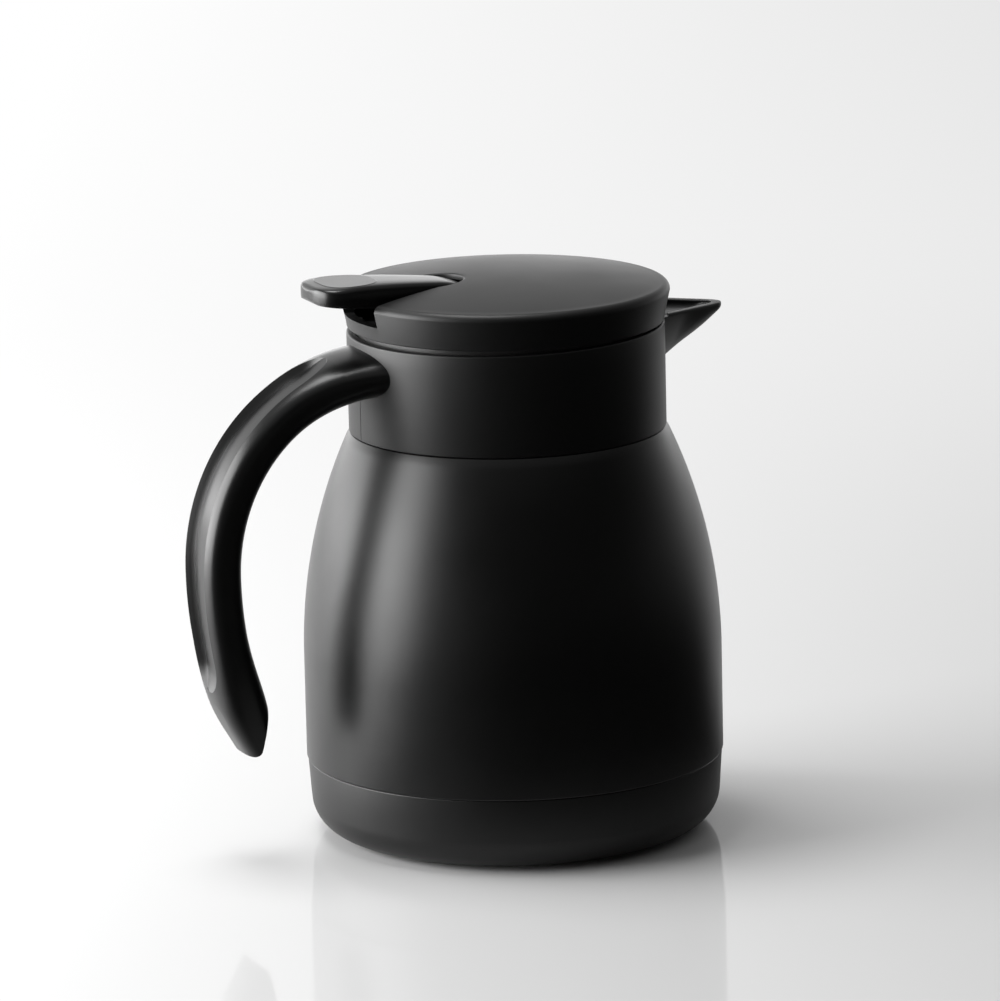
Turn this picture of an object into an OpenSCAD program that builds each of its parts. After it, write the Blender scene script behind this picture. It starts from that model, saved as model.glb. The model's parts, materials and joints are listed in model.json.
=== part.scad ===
// Thermal carafe with a thumb lever lid: a double-walled steel flask, a plastic neck collar with a
// pouring beak, a C-shaped handle and a quarter-turn lid that holds a sprung lift valve.
// +X is the beak side, -X is the handle side, +Z is up, and the origin is on the table under the axis.

/* [Flask] */
// Widest outer diameter of the steel body
body_d = 120.2; // [112:0.1:130]
// Height of the shoulder ledge that carries the collar
ledge_z = 117.2; // [112:0.1:126]
// Height at which the straight wall starts to curve in
curve_z = 52; // [46:0.5:58]
// Outer diameter of the steel neck
neck_d = 82; // [74:0.5:88]
// Height of the steel neck above the ledge
neck_h = 20.3; // [18:0.1:24]
// How much smaller the mouth's radius is than the neck's
mouth_step = 4.1; // [3.7:0.1:4.6]
// Thickness of the steel sheet
steel_t = 0.6; // [0.5:0.05:0.8]
// Width of the vacuum gap between the two walls
vacuum_gap = 5.4; // [5:0.1:6.5]
// Corner radius at the bottom of the inner liner
liner_corner = 14; // [10:0.5:18]
// Height of the inner liner's floor above the table
liner_floor_z = 18; // [17:0.5:24]

/* [Base] */
// Height of the base cap's upper edge
base_h = 22.2; // [20:0.1:26]
// How far the body stands proud of the base cap
base_inset = 0.35; // [0.2:0.05:0.8]
// Wall thickness of the base cap
base_t = 2; // [1.6:0.1:2.4]
// Radius of the base cap's bottom edge
base_fillet = 10; // [8:0.5:11]
// Inward draft of the base cap's wall in degrees
base_draft = 4; // [2:0.5:5]
// Height that the foot ring lifts the base cap
foot_lift = 0.6; // [0.4:0.1:1]
// Mean diameter of the foot ring
foot_d = 84; // [76:1:90]
// Width of the foot ring
foot_w = 8; // [6:0.5:9]
// Depth of the foot ring's groove in the base cap
foot_groove = 0.9; // [0.6:0.1:1.1]

/* [Collar] */
// Wall thickness of the collar
collar_t = 2.2; // [2:0.1:2.4]
// Thickness of the clamping ring between neck and collar
clamp_t = 2.1; // [1.7:0.1:2.6]
// Thickness of the lip that covers the flask's mouth
lip_t = 1.5; // [1.2:0.1:2]
// Thickness of the gasket between mouth and lip
mouth_gasket_t = 1.2; // [1:0.1:1.6]
// Height of the collar's wall above the lip, at the beak
wall_above_lip = 7.1; // [6.5:0.1:7.1]
// How much lower the collar's edge is at the handle
rim_drop = 1.2; // [0.6:0.1:2]
// Height of the clamping ring on the steel neck
clamp_h = 8; // [6:0.5:10]

/* [Beak] */
// How far the beak's tip stands out from the collar
beak_out = 21.4; // [17:0.1:25]
// Half width of the beak inside the collar's wall
beak_half_w = 17; // [14:0.5:18]
// Depth of the beak's keel below its edge, at the collar
beak_depth = 18.4; // [15:0.2:19]
// Radius of the beak's tip
beak_tip_r = 4.4; // [3.4:0.1:5]
// Wall thickness of the beak at its sides
beak_t = 2; // [1.6:0.1:2.4]
// Wall thickness of the beak at its tip
beak_tip_t = 3; // [2.4:0.1:4]
// Height of the beak's blunt front
beak_tip_h = 2.2; // [1.4:0.1:3]
// How much lower the beak's edge is at its tip
beak_fall = 0.8; // [0.4:0.1:2]

/* [Handle] */
// Distance of the handle's centre line from the axis, at its widest
handle_reach = 90.8; // [86:0.2:98]
// Height of the handle's widest place
handle_mid_z = 83.5; // [79:0.5:88]
// Height of the handle's centre line at the collar, above the flask's ledge
handle_root_h = 19.3; // [17:0.1:20]
// Height of the corner at the handle's free lower end
handle_end_z = 47.3; // [42:0.1:56]
// Width of the handle's grip
handle_w = 23.8; // [19:0.2:26]
// Width of the handle where it meets the collar
handle_root_w = 34.6; // [30:0.2:37]
// Thickness of the handle
handle_t = 11.5; // [9.5:0.1:12.5]
// Width of the hollow along the handle's outer face
hollow_w = 15.6; // [11:0.2:17]
// Depth of the hollow along the handle's outer face
hollow_depth = 1.8; // [0.8:0.1:2.4]

/* [Lid] */
// How much the lid widens from its lower edge to its top, on the radius
lid_flare = 1.7; // [1.2:0.1:3]
// Height of the lid's edge
lid_h = 10.6; // [10:0.1:12]
// Rise of the lid's domed top
lid_dome = 2.1; // [1.6:0.1:3]
// Wall thickness of the lid cover
lid_t = 2; // [1.7:0.05:2.1]
// Radius of the lid's upper edge
lid_edge_r = 2.2; // [1.6:0.1:2.6]
// Gap between the lid's lower edge and the collar, at the beak
lid_gap = 0.5; // [0.4:0.1:1]
// Height of the band that closes the lever's notch below
notch_band_h = 4.1; // [3.2:0.1:4.4]

/* [Stopper] */
// Gap between the stopper cup and the mouth, which the cup's gasket fills
plug_play = 1.9; // [1.5:0.1:2.4]
// Depth of the stopper below the collar's lip
plug_depth = 19.2; // [17.5:0.1:20.5]
// Wall thickness of the stopper parts
plug_t = 1.8; // [1.5:0.1:2]
// Thickness of the stopper's floor
plug_floor_t = 3; // [2.8:0.1:3.4]
// Inner diameter of the valve chamber
chamber_d = 28; // [26:0.5:30]
// Diameter of the valve's opening
seat_d = 18; // [16:0.5:19]
// Width of the pouring channel and its outlet
channel_w = 17; // [14:0.5:18]
// Height of the pouring channel
channel_h = 5.1; // [4.8:0.1:5.4]

/* [Lever] */
// Distance of the lever's nose from the axis
nose_x = 14.6; // [14:0.1:16]
// How far the thumb end stands out from the lid
thumb_out = 14.5; // [11:0.1:19]
// Distance of the lever's pin from the axis
pin_x = 26; // [24:0.2:28]
// Radius of the lever's nose
nose_r = 7.2; // [6.5:0.1:8]
// Half width of the lever's thumb end
thumb_half_w = 11.6; // [10:0.1:12]
// Gap between the lever and its slot in the lid
slot_gap = 1.2; // [1:0.1:1.6]
// How much wider that gap is at the lid's edge
slot_flare = 1.7; // [0.8:0.1:2.4]

/* [Valve] */
// Diameter of the valve stem
stem_d = 4; // [3.4:0.1:4.4]
// Diameter of the valve head
head_d = 22; // [21:0.5:23]
// Thickness of the valve's seal
seal_t = 1.8; // [1.4:0.1:2.2]
// Diameter of the spring's wire
wire_d = 0.8; // [0.6:0.1:1]
// Mean diameter of the spring
spring_d = 8.2; // [7.6:0.1:9]
// Number of turns in the spring
spring_turns = 7; // [5:1:8]

/* [Fasteners] */
// Diameter of the lever's pin
pin_d = 3; // [2.4:0.1:3.4]
// Shank diameter of the screws
screw_d = 2.6; // [2.2:0.1:3]
// Head diameter of the screws
screw_head_d = 5; // [4.4:0.1:5.4]
// Height of the screw heads
screw_head_h = 1.2; // [1:0.1:1.3]

/* [Fits] */
// Radial play of a shaft or pin that turns or slides
running_play = 0.05; // [0.02:0.01:0.09]
// Gap between pieces that move past each other
free_gap = 0.3; // [0.25:0.05:0.4]
// Gap between pieces that are pushed together
push_gap = 0.1; // [0.05:0.01:0.2]

/* [Hidden] */

$fn = 120;
far = 200;
sliver = 0.01;

// Flask
body_r = body_d / 2;
neck_r = neck_d / 2;
mouth_r = neck_r - mouth_step;
collar_bore_r = neck_r + clamp_t + push_gap;
collar_r = collar_bore_r + collar_t;
ledge_r = collar_r + 0.1;
curve_h = ledge_z - curve_z;
curve_in = body_r - ledge_r;
curve_r = (curve_h * curve_h + curve_in * curve_in) / (2 * curve_in);
curve_steps = 20;
mouth_z = ledge_z + neck_h;
step_z = base_h;
liner_r = body_r - steel_t - vacuum_gap;
weld_h = 3;
weld_step = 0.9;
vent_r = 1.5;

// Base
base_r = body_r - base_inset;
base_floor_z = foot_lift;
step_r = base_r - base_t - push_gap;
bottom_z = base_floor_z + base_fillet + 0.4;
rib_in = 20;
rib_l = 12;
rib_t = 1.6;

// Collar and beak
collar_z0 = ledge_z + push_gap;
lip_z0 = mouth_z + mouth_gasket_t;
lip_z1 = lip_z0 + lip_t;
lip_r = mouth_r + 1;
rim_z = lip_z1 + wall_above_lip;
beak_z = rim_z + 0.7;
beak_reach = collar_r + beak_out;
beak_sink = 2.6;
beak_x = collar_bore_r - beak_sink;
beak_tip_z = beak_z - beak_fall - beak_tip_h;
beak_keel_r = 2;
trough_tip_r = 2;
trough_tip_l = 5;
trough_floor_w = 8;
clamp_rise = 4;
clamp_z = ledge_z + clamp_rise;

// Lid
lid_r = collar_r - 0.1;
lid_top_r = lid_r + lid_flare;
lid_step = 0.4;
lid_z0 = rim_z + lid_gap;
lid_z1 = lid_z0 + lid_h;
notch_z = lid_z0 + notch_band_h;
dome_r = lid_top_r - lid_edge_r;
lid_bore_r = lid_r - lid_t;

// Stopper
plug_r = mouth_r - plug_play;
plug_z = lip_z1 - plug_depth;
seat_z = plug_z + plug_floor_t;
deck_z0 = lip_z1 + 0.4;
deck_t = plug_t;
deck_z1 = deck_z0 + deck_t;
roof_z = deck_z1 + channel_h;
drum_r = collar_bore_r - 0.4;
flange_z = lid_z0 + 1.2;
flange_t = 1.4;
frame_t = 1.5;
frame_top = roof_z + frame_t;
chamber_r = chamber_d / 2;
groove_depth = 1.5;
groove_r = plug_r - groove_depth;
groove_z = plug_z + 0.8;
groove_h = 2.2;
post_r = screw_d / 2 + 1.8;
post_in = 9.8;
post_ring_r = drum_r - post_in;
chamber_t = 1.5;
post_angles = [45, 135, 225, 315];

// Lever
pin_r = pin_d / 2;
pin_rise = 4.5;
pin_z = frame_top + pin_rise;
hub_r = 4;
hub_half_w = 4.5;
hub_web = hub_r - 0.4;
ear_r = 3;
ear_t = 1.3;
ear_half = hub_half_w + free_gap;
pin_half = ear_half + ear_t + 0.05;
stem_r = stem_d / 2;
fork_z = frame_top + 1.8;
fork_pad_r = 1.2;
fork_in = stem_r + 0.4;
fork_t = 2;
fork_inset = 0.2;
thumb_x = lid_top_r + thumb_out;
thumb_round = 9.8;
thumb_edge = 1.6;
crest_in = 12.5;
crest_rise = 5.4;
crest_x = thumb_x - crest_in;
crest_z = lid_z1 + crest_rise;
crest_bend = 0.0137;
facet_depth = 0.5;
under_drop = 4.6;
under_z = lid_z1 - under_drop;
under_rise = 0.11;
lever_stations = 30;
slot_r = nose_r + slot_gap;
slot_half_w = lever_half(lid_r) + slot_gap + slot_flare;

// Valve
seal_z = seat_z + free_gap;
head_r = head_d / 2;
head_z = seal_z + seal_t;
head_h = 2.6;
bush_r = stem_r + 2.2;
bush_flange_r = spring_d / 2 + 1.8;
bush_flange_t = 2;
spring_z0 = head_z + head_h;
spring_z1 = roof_z - bush_flange_t;
cap_z = fork_z + fork_pad_r + free_gap;
cap_t = 1.6;
cap_r = fork_in + fork_t - 0.2;

// Handle
screw_y = 6;
screw_l = 11;
screw_z = ledge_z + handle_root_h;
screw_head_in = 0.6;
root_sink = 2.7;
root_fall = 1.1;
bend_in = 21;
bend_h = 28.7;
grip_h = 22.8;
curl_in = 6.6;
curl_drop = 6;
end_in = 18.1;
end_drop = 27;
handle_path_a = [[-collar_bore_r + root_sink, screw_z], [-handle_reach + bend_in, screw_z - root_fall],
    [-handle_reach, handle_mid_z + bend_h], [-handle_reach, handle_mid_z]];
handle_path_b = [[-handle_reach, handle_mid_z], [-handle_reach, handle_mid_z - grip_h],
    [-handle_reach + curl_in, handle_end_z - curl_drop], [-handle_reach + end_in, handle_end_z - end_drop]];
handle_places = [for (k = [0:0.05:0.1]) k, for (k = [0.12:0.0125:0.225]) k, for (k = [0.26:0.05:1.38]) k,
    for (k = [1.4:0.0125:1.53]) k, for (k = [1.56:0.05:2]) k];
hollow_start = 0.12;
hollow_end = 1.53;
hollow_round = 0.1;
hollow_floor = 0.36;
corner_in = 12.4;
end_x = -handle_reach + corner_in;
end_lean = 12.5;
tip_r = 1.8;
tip_l = 15.6;

// Sheet curve of the body at a distance inside its outer surface, from the straight wall to an end radius
function curve_centre() = body_r - curve_r;
function curve_end(inside, end_r) = acos((end_r - curve_centre()) / (curve_r - inside));
function body_curve(inside, end_r) = [for (i = [0:curve_steps])
    let (a = curve_end(inside, end_r) * i / curve_steps, r = curve_r - inside)
    [curve_centre() + r * cos(a), curve_z + r * sin(a)]];
function reversed(list) = [for (i = [len(list) - 1:-1:0]) list[i]];

// Quarter arc between two directions, for rounded corners of a profile
function arc(cx, cz, r, a0, a1, n = 8) = [for (i = [0:n])
    let (a = a0 + (a1 - a0) * i / n) [cx + r * cos(a), cz + r * sin(a)]];

// Point and direction on a cubic curve through four control points
function bezier(p, t) = pow(1 - t, 3) * p[0] + 3 * t * pow(1 - t, 2) * p[1]
    + 3 * t * t * (1 - t) * p[2] + t * t * t * p[3];
function bezier_dir(p, t) = let (d = 3 * pow(1 - t, 2) * (p[1] - p[0])
    + 6 * t * (1 - t) * (p[2] - p[1]) + 3 * t * t * (p[3] - p[2])) d / norm(d);

// Smooth step from 0 to 1 between two places
function ease(a, b, x) = let (t = min(1, max(0, (x - a) / (b - a)))) t * t * (3 - 2 * t);

// Mean of a list of points
function middle(ring) = [for (i = [0:len(ring) - 1]) 1] * ring / len(ring);

// Solid tube or bar through a list of closed rings with the same number of points
module skin(rings) {
    n = len(rings[0]);
    m = len(rings);
    side = [for (j = [0:m - 2]) for (i = [0:n - 1]) let (k = (i + 1) % n)
        each [[j * n + i, (j + 1) * n + k, j * n + k], [j * n + i, (j + 1) * n + i, (j + 1) * n + k]]];
    start = [for (i = [0:n - 1]) [n * m, i, (i + 1) % n]];
    end = [for (i = [0:n - 1]) [n * m + 1, (m - 1) * n + (i + 1) % n, (m - 1) * n + i]];
    middles = [middle(rings[0]), middle(rings[m - 1])];
    polyhedron(concat([for (ring = rings) each ring], middles), concat(side, start, end),
        convexity = 6);
}

module ring(r_out, r_in, z0, z1) {
    translate([0, 0, z0])
        difference() {
            cylinder(r = r_out, h = z1 - z0);
            translate([0, 0, -1])
                cylinder(r = r_in, h = z1 - z0 + 2);
        }
}

module disc(r, z0, z1) {
    translate([0, 0, z0])
        cylinder(r = r, h = z1 - z0);
}

// Cylinder along X from x0 to x1
module rod_x(r, x0, x1) {
    translate([x0, 0, 0])
        rotate([0, 90, 0])
            cylinder(r = r, h = x1 - x0);
}

// Cylinder along Y, centred on the XZ plane
module rod_y(r, half) {
    rotate([90, 0, 0])
        cylinder(r = r, h = 2 * half, center = true);
}

module outer_shell() {
    color([0.05, 0.05, 0.05])
        rotate_extrude()
            polygon(concat(
                [[step_r, bottom_z], [step_r, step_z], [body_r, step_z]],
                body_curve(0, ledge_r),
                [[neck_r, ledge_z], [neck_r, mouth_z], [mouth_r + steel_t, mouth_z],
                    [mouth_r + steel_t, mouth_z - steel_t], [neck_r - steel_t, mouth_z - steel_t],
                    [neck_r - steel_t, ledge_z - steel_t]],
                reversed(body_curve(steel_t, ledge_r - steel_t / 2)),
                [[body_r - steel_t, step_z + steel_t], [step_r - steel_t, step_z + steel_t],
                    [step_r - steel_t, bottom_z]]));
}

module inner_liner() {
    liner_in = steel_t + vacuum_gap;
    inner_r = liner_r - steel_t;
    color([0.75, 0.75, 0.74])
        rotate_extrude()
            polygon(concat(
                [[0, liner_floor_z]],
                arc(liner_r - liner_corner, liner_floor_z + liner_corner, liner_corner, -90, 0),
                body_curve(liner_in, mouth_r + steel_t),
                [[mouth_r + steel_t, mouth_z], [mouth_r, mouth_z]],
                reversed(body_curve(liner_in + steel_t, mouth_r)),
                arc(inner_r - liner_corner + steel_t, liner_floor_z + liner_corner,
                    liner_corner - steel_t, 0, -90),
                [[0, liner_floor_z + steel_t]]));
}

module shell_bottom() {
    r = step_r - steel_t;
    color([0.72, 0.72, 0.71])
        difference() {
            union() {
                ring(r, r - steel_t, bottom_z, bottom_z + weld_h);
                disc(r - steel_t + sliver, bottom_z + weld_step, bottom_z + weld_step + steel_t);
            }
            disc(vent_r, bottom_z, bottom_z + weld_h);
        }
}

module vacuum_cap() {
    color([0.7, 0.7, 0.7])
        translate([0, 0, bottom_z + weld_step])
            mirror([0, 0, 1])
                rotate_extrude()
                    polygon([[0, 0], [6, 0], [6, 0.5], [4, 1.3], [0, 1.3]]);
}

module getter() {
    color([0.45, 0.45, 0.47])
        disc(5, liner_floor_z - 2, liner_floor_z);
}

module base_cap() {
    wall_h = base_h - base_floor_z - base_fillet;
    foot_r = base_r - wall_h * tan(base_draft) - base_fillet;
    hollow_r = base_fillet - base_t;
    color([0.07, 0.07, 0.07])
        difference() {
            rotate_extrude()
                polygon(concat(
                    [[0, base_floor_z]],
                    arc(foot_r, base_floor_z + base_fillet, base_fillet, -90, -base_draft),
                    [[base_r, base_h], [step_r + push_gap, base_h]],
                    arc(step_r + push_gap - hollow_r, base_floor_z + base_fillet, hollow_r, 0, -90),
                    [[0, base_floor_z + base_t]]));
            ring(foot_d / 2 + foot_w / 2, foot_d / 2 - foot_w / 2, 0, base_floor_z + foot_groove);
        }
    color([0.07, 0.07, 0.07])
        for (a = [0:60:300])
            rotate([0, 0, a])
                translate([step_r - rib_in, -rib_t / 2, base_floor_z + base_t - sliver])
                    cube([rib_l, rib_t, bottom_z + weld_step - push_gap - base_floor_z - base_t + sliver]);
}

module foot_ring() {
    color([0.12, 0.12, 0.12])
        ring(foot_d / 2 + foot_w / 2 - push_gap, foot_d / 2 - foot_w / 2 + push_gap,
            0, base_floor_z + foot_groove);
}

module clamp_ring() {
    color([0.7, 0.7, 0.7])
        ring(collar_bore_r - push_gap, neck_r, clamp_z, clamp_z + clamp_h);
}

module mouth_gasket() {
    color([0.8, 0.8, 0.78])
        ring(neck_r, mouth_r + steel_t, mouth_z, lip_z0);
}

// Everything above the collar's sloping edge
module above_rim() {
    translate([0, 0, rim_z - rim_drop / 2])
        rotate([0, -atan(rim_drop / collar_r / 2), 0])
            translate([-far / 2, -far / 2, 0])
                cube([far, far, far / 2]);
}

module beak_outer() {
    hull() {
        for (side = [-1, 1])
            translate([beak_x, side * (beak_half_w - 1), beak_z - 2])
                cylinder(r = 1, h = 3, $fn = 24);
        translate([collar_bore_r + 1, 0, beak_z - beak_depth + beak_keel_r])
            sphere(r = beak_keel_r, $fn = 24);
        translate([beak_reach - beak_tip_r, 0, beak_tip_z])
            cylinder(r = beak_tip_r - 0.8, h = 1, $fn = 48);
        translate([beak_reach - beak_tip_r, 0, beak_tip_z + 0.8])
            cylinder(r = beak_tip_r, h = 3, $fn = 48);
    }
}

module beak_trough() {
    hull() {
        for (side = [-1, 1])
            translate([beak_x - 3, side * (beak_half_w + 1 - beak_t), beak_z - 1])
                cylinder(r = 0.6, h = 4, $fn = 24);
        for (side = [-1, 1])
            translate([beak_x - 3, side * trough_floor_w / 2, lip_z1 + 0.6])
                sphere(r = 0.6, $fn = 24);
        translate([beak_reach - beak_tip_t - trough_tip_r, 0, beak_z - beak_fall - 0.6])
            cylinder(r = trough_tip_r, h = 5, $fn = 32);
        translate([beak_reach - beak_tip_t - trough_tip_l, 0, beak_tip_z - 0.2])
            sphere(r = 0.8, $fn = 24);
    }
}

// Everything above the beak's falling edge
module above_beak() {
    translate([collar_r, 0, beak_z])
        rotate([0, atan(beak_fall / (beak_reach - collar_r)), 0])
            translate([-collar_r, -far / 2, 0])
                cube([far, far, far / 2]);
}

module neck_collar() {
    color([0.08, 0.08, 0.08])
        difference() {
            union() {
                difference() {
                    ring(collar_r, collar_bore_r, collar_z0, rim_z + 1);
                    above_rim();
                }
                difference() {
                    beak_outer();
                    above_beak();
                    disc(collar_bore_r + 0.5, collar_z0, beak_z + 5);
                    ring(lid_r + 1 + free_gap, collar_bore_r - 1, rim_z, beak_z + 5);
                }
                ring(collar_bore_r + sliver, lip_r, lip_z0, lip_z1);
            }
            beak_trough();
            for (side = [-1, 1])
                translate([0, side * screw_y, screw_z]) {
                    rod_x(screw_d / 2, -collar_r - 1, -collar_bore_r + 3);
                    rod_x(screw_head_d / 2 + push_gap, -collar_bore_r - screw_head_h + screw_head_in,
                        -collar_bore_r + 3);
                }
        }
}

// Cross section of the handle, a rounded oblong with a hollow of half width c and depth g in its outer face
function oblong(f, e) = pow(max(0, 1 - pow(f, e)), 1 / e);
function handle_section(w, t, e, c, g) = let (
        h = w / 2,
        hollow = [for (q = [0, hollow_floor, 0.52, 0.68, 0.84, 1]) let (f = q * c / h)
            [f * h, t / 2 * oblong(f, e) - g * cos(90 * max(0, q - hollow_floor) / (1 - hollow_floor))]],
        outer = [for (q = [0.32, 0.58, 0.78, 0.91, 0.98, 1]) let (f = c / h + q * (1 - c / h))
            [f * h, t / 2 * oblong(f, e)]],
        inner = [for (f = [0.985, 0.94, 0.86, 0.74, 0.56, 0.36, 0.18, 0]) [f * h, -t / 2 * oblong(f, e)]],
        half = concat(hollow, outer, inner))
    concat(half, [for (i = [len(half) - 2:-1:1]) [-half[i][0], half[i][1]]]);

// Ring of the handle at a place k from 0 at the collar to 2 past the lower end
function handle_ring(k) = let (
        path = k < 1 ? handle_path_a : handle_path_b,
        t = k < 1 ? k : k - 1,
        p = bezier(path, t),
        d = bezier_dir(path, t),
        n = [d[1], -d[0]],
        root = 1 - ease(-0.1, 0.42, k),
        w = handle_w + (handle_root_w - handle_w) * pow(root, 1.2) - 6 * ease(1.3, 2, k),
        thick = handle_t + 0.5 * root - 2.6 * ease(1.3, 2, k),
        edge = max(0, hollow_start + hollow_round - k, k - hollow_end + hollow_round) / hollow_round,
        c = hollow_w / 2 * sqrt(max(0.003, 1 - edge * edge)),
        g = edge < 1 ? hollow_depth * cos(90 * pow(edge, 1.5)) : 0)
    [for (q = handle_section(w, thick, 2.8 - 0.7 * root, c, g)) [p[0] + n[0] * q[1], q[0], p[1] + n[1] * q[1]]];

module handle() {
    color([0.04, 0.04, 0.04])
        difference() {
            skin([for (k = handle_places) handle_ring(k)]);
            disc(collar_r, collar_z0, lid_z1);
            translate([end_x, 0, handle_end_z])
                rotate([0, end_lean, 0]) {
                    translate([0, -far / 2, -far])
                        cube([far, far, far]);
                    difference() {
                        translate([-far, -far / 2, -tip_l - far])
                            cube([far + 1, far, far]);
                        translate([-tip_r, 0, -tip_l])
                            rod_y(tip_r, far);
                    }
                }
            for (side = [-1, 1])
                translate([0, side * screw_y, screw_z])
                    rod_x(screw_d / 2, -collar_bore_r - screw_l, -collar_bore_r);
        }
}

module handle_screws() {
    color([0.6, 0.6, 0.6])
        for (side = [-1, 1])
            translate([0, side * screw_y, screw_z]) {
                rod_x(screw_d / 2, -collar_bore_r - screw_l + 1, -collar_bore_r);
                rod_x(screw_head_d / 2, -collar_bore_r - screw_head_h + screw_head_in,
                    -collar_bore_r + screw_head_in);
            }
}

module rim_gasket() {
    color([0.8, 0.8, 0.78])
        ring(drum_r - 0.9, lip_r + 0.4, lip_z1 + free_gap, deck_z0 + 0.9 - push_gap);
}

module stopper_gasket() {
    color([0.8, 0.8, 0.78])
        rotate_extrude()
            polygon([[groove_r + push_gap, groove_z + push_gap], [mouth_r - free_gap, groove_z + push_gap],
                [mouth_r - free_gap, groove_z + 0.7], [plug_r + 0.2, groove_z + groove_h - push_gap],
                [groove_r + push_gap, groove_z + groove_h - push_gap]]);
}

module stopper_body() {
    color([0.1, 0.1, 0.1])
        difference() {
            union() {
                disc(drum_r, deck_z0, deck_z1);
                ring(drum_r, drum_r - plug_t, deck_z0, flange_z + flange_t);
                ring(lid_bore_r + 0.1, drum_r - plug_t, flange_z, flange_z + flange_t);
                for (side = [-1, 1])
                    translate([0, side * (channel_w + plug_t) / 2, deck_z1 - sliver])
                        translate([0, -plug_t / 2, 0])
                            cube([drum_r - plug_t / 2, plug_t, channel_h + sliver]);
                translate([0, 0, deck_z1 - sliver])
                    difference() {
                        cylinder(r = chamber_r + chamber_t, h = channel_h + sliver);
                        translate([0, 0, -1])
                            cylinder(r = chamber_r, h = channel_h + 2);
                        translate([0, -channel_w / 2, -1])
                            cube([far, channel_w, channel_h + 2]);
                    }
                for (a = post_angles)
                    rotate([0, 0, a])
                        translate([post_ring_r, 0, deck_z1 - sliver])
                            cylinder(r = post_r, h = channel_h + sliver, $fn = 48);
            }
            disc(chamber_r, deck_z0 - 1, deck_z1 + 1);
            ring(drum_r - 0.8, lip_r + 0.3, deck_z0 - 1, deck_z0 + 0.9);
            translate([drum_r - 5, -channel_w / 2, deck_z1])
                cube([10, channel_w, channel_h - 0.4]);
            for (a = post_angles)
                rotate([0, 0, a])
                    translate([post_ring_r, 0, deck_z1 + 0.6])
                        cylinder(r = screw_d / 2, h = channel_h, $fn = 48);
        }
}

module chamber_tube() {
    color([0.1, 0.1, 0.1])
        ring(chamber_r + chamber_t, chamber_r, seat_z, deck_z0);
}

module stopper_cup() {
    color([0.1, 0.1, 0.1])
        rotate_extrude()
            polygon([[seat_d / 2, plug_z], [plug_r - 0.4, plug_z], [plug_r - 0.4, groove_z],
                [groove_r, groove_z], [groove_r, groove_z + groove_h], [plug_r, groove_z + groove_h],
                [plug_r, deck_z0], [plug_r - plug_t, deck_z0], [plug_r - plug_t, groove_z + groove_h + plug_t],
                [groove_r - plug_t, groove_z + groove_h + plug_t], [groove_r - plug_t, seat_z],
                [seat_d / 2, seat_z]]);
}

module stopper_insulation() {
    color([0.9, 0.88, 0.8])
        ring(groove_r - plug_t - push_gap, chamber_r + chamber_t + push_gap, seat_z + push_gap,
            deck_z0 - push_gap);
}

module lever_frame() {
    color([0.12, 0.12, 0.12])
        difference() {
            union() {
                disc(drum_r - plug_t - push_gap, roof_z, frame_top);
                for (side = [-1, 1])
                    translate([-pin_x, side * (ear_half + ear_t / 2), 0]) {
                        translate([0, 0, pin_z])
                            rod_y(ear_r, ear_t / 2);
                        translate([-ear_r, -ear_t / 2, frame_top - sliver])
                            cube([2 * ear_r, ear_t, pin_z - frame_top + sliver]);
                    }
            }
            disc(bush_r, roof_z - 1, frame_top + 1);
            translate([-pin_x, 0, pin_z])
                rod_y(pin_r, ear_half + ear_t + 1);
            for (a = post_angles)
                rotate([0, 0, a])
                    translate([post_ring_r, 0, roof_z - 1])
                        cylinder(r = screw_d / 2, h = 10, $fn = 48);
        }
}

module guide_bush() {
    color([0.85, 0.85, 0.83])
        difference() {
            union() {
                disc(bush_flange_r, roof_z - bush_flange_t, roof_z);
                disc(bush_r, roof_z - sliver, frame_top + 0.3);
            }
            disc(stem_r + running_play, roof_z - bush_flange_t - 1, frame_top + 1);
        }
}

module frame_screws() {
    color([0.6, 0.6, 0.6])
        for (a = post_angles)
            rotate([0, 0, a])
                translate([post_ring_r, 0, 0]) {
                    translate([0, 0, deck_z1 + 1])
                        cylinder(r = screw_d / 2, h = frame_top - deck_z1 - 1, $fn = 48);
                    translate([0, 0, frame_top])
                        cylinder(r = screw_head_d / 2, h = screw_head_h, $fn = 48);
                }
}

// Height of the domed top over the lid's edge at a radius
function dome(r) = lid_dome * (1 - r * r / (dome_r * dome_r));
dome_steps = 10;

module lid_form(inside) {
    rotate_extrude()
        polygon(concat(
            [[0, lid_z0 - sign(inside)], [lid_r - inside, lid_z0 - sign(inside)], [lid_r - inside, lid_z0 + 1]],
            arc(lid_top_r - lid_edge_r - inside, lid_z1 - lid_edge_r - inside + lid_step * sign(inside),
                lid_edge_r, 0, 90),
            [for (i = [dome_steps - 1:-1:0]) let (r = (dome_r - inside) * i / dome_steps)
                [r, lid_z1 - inside + lid_step * sign(inside) + dome(r + inside * i / dome_steps)]]));
}

module slot_outline(grow) {
    hull() {
        translate([-nose_x - nose_r + 0.2, 0])
            circle(r = slot_r + grow, $fn = 32);
        translate([-lid_r, -slot_half_w - grow])
            square([1, 2 * (slot_half_w + grow)]);
        translate([-lid_top_r - 6, -slot_half_w - grow - slot_gap])
            square([1, 2 * (slot_half_w + grow + slot_gap)]);
    }
}

module lid_cover() {
    color([0.08, 0.08, 0.08])
        difference() {
            lid_form(0);
            lid_form(lid_t);
            translate([0, 0, notch_z])
                linear_extrude(height = far)
                    slot_outline(0);
        }
}

module lever_pin() {
    color([0.65, 0.65, 0.65])
        translate([-pin_x, 0, pin_z])
            rod_y(pin_r, pin_half);
}

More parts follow.
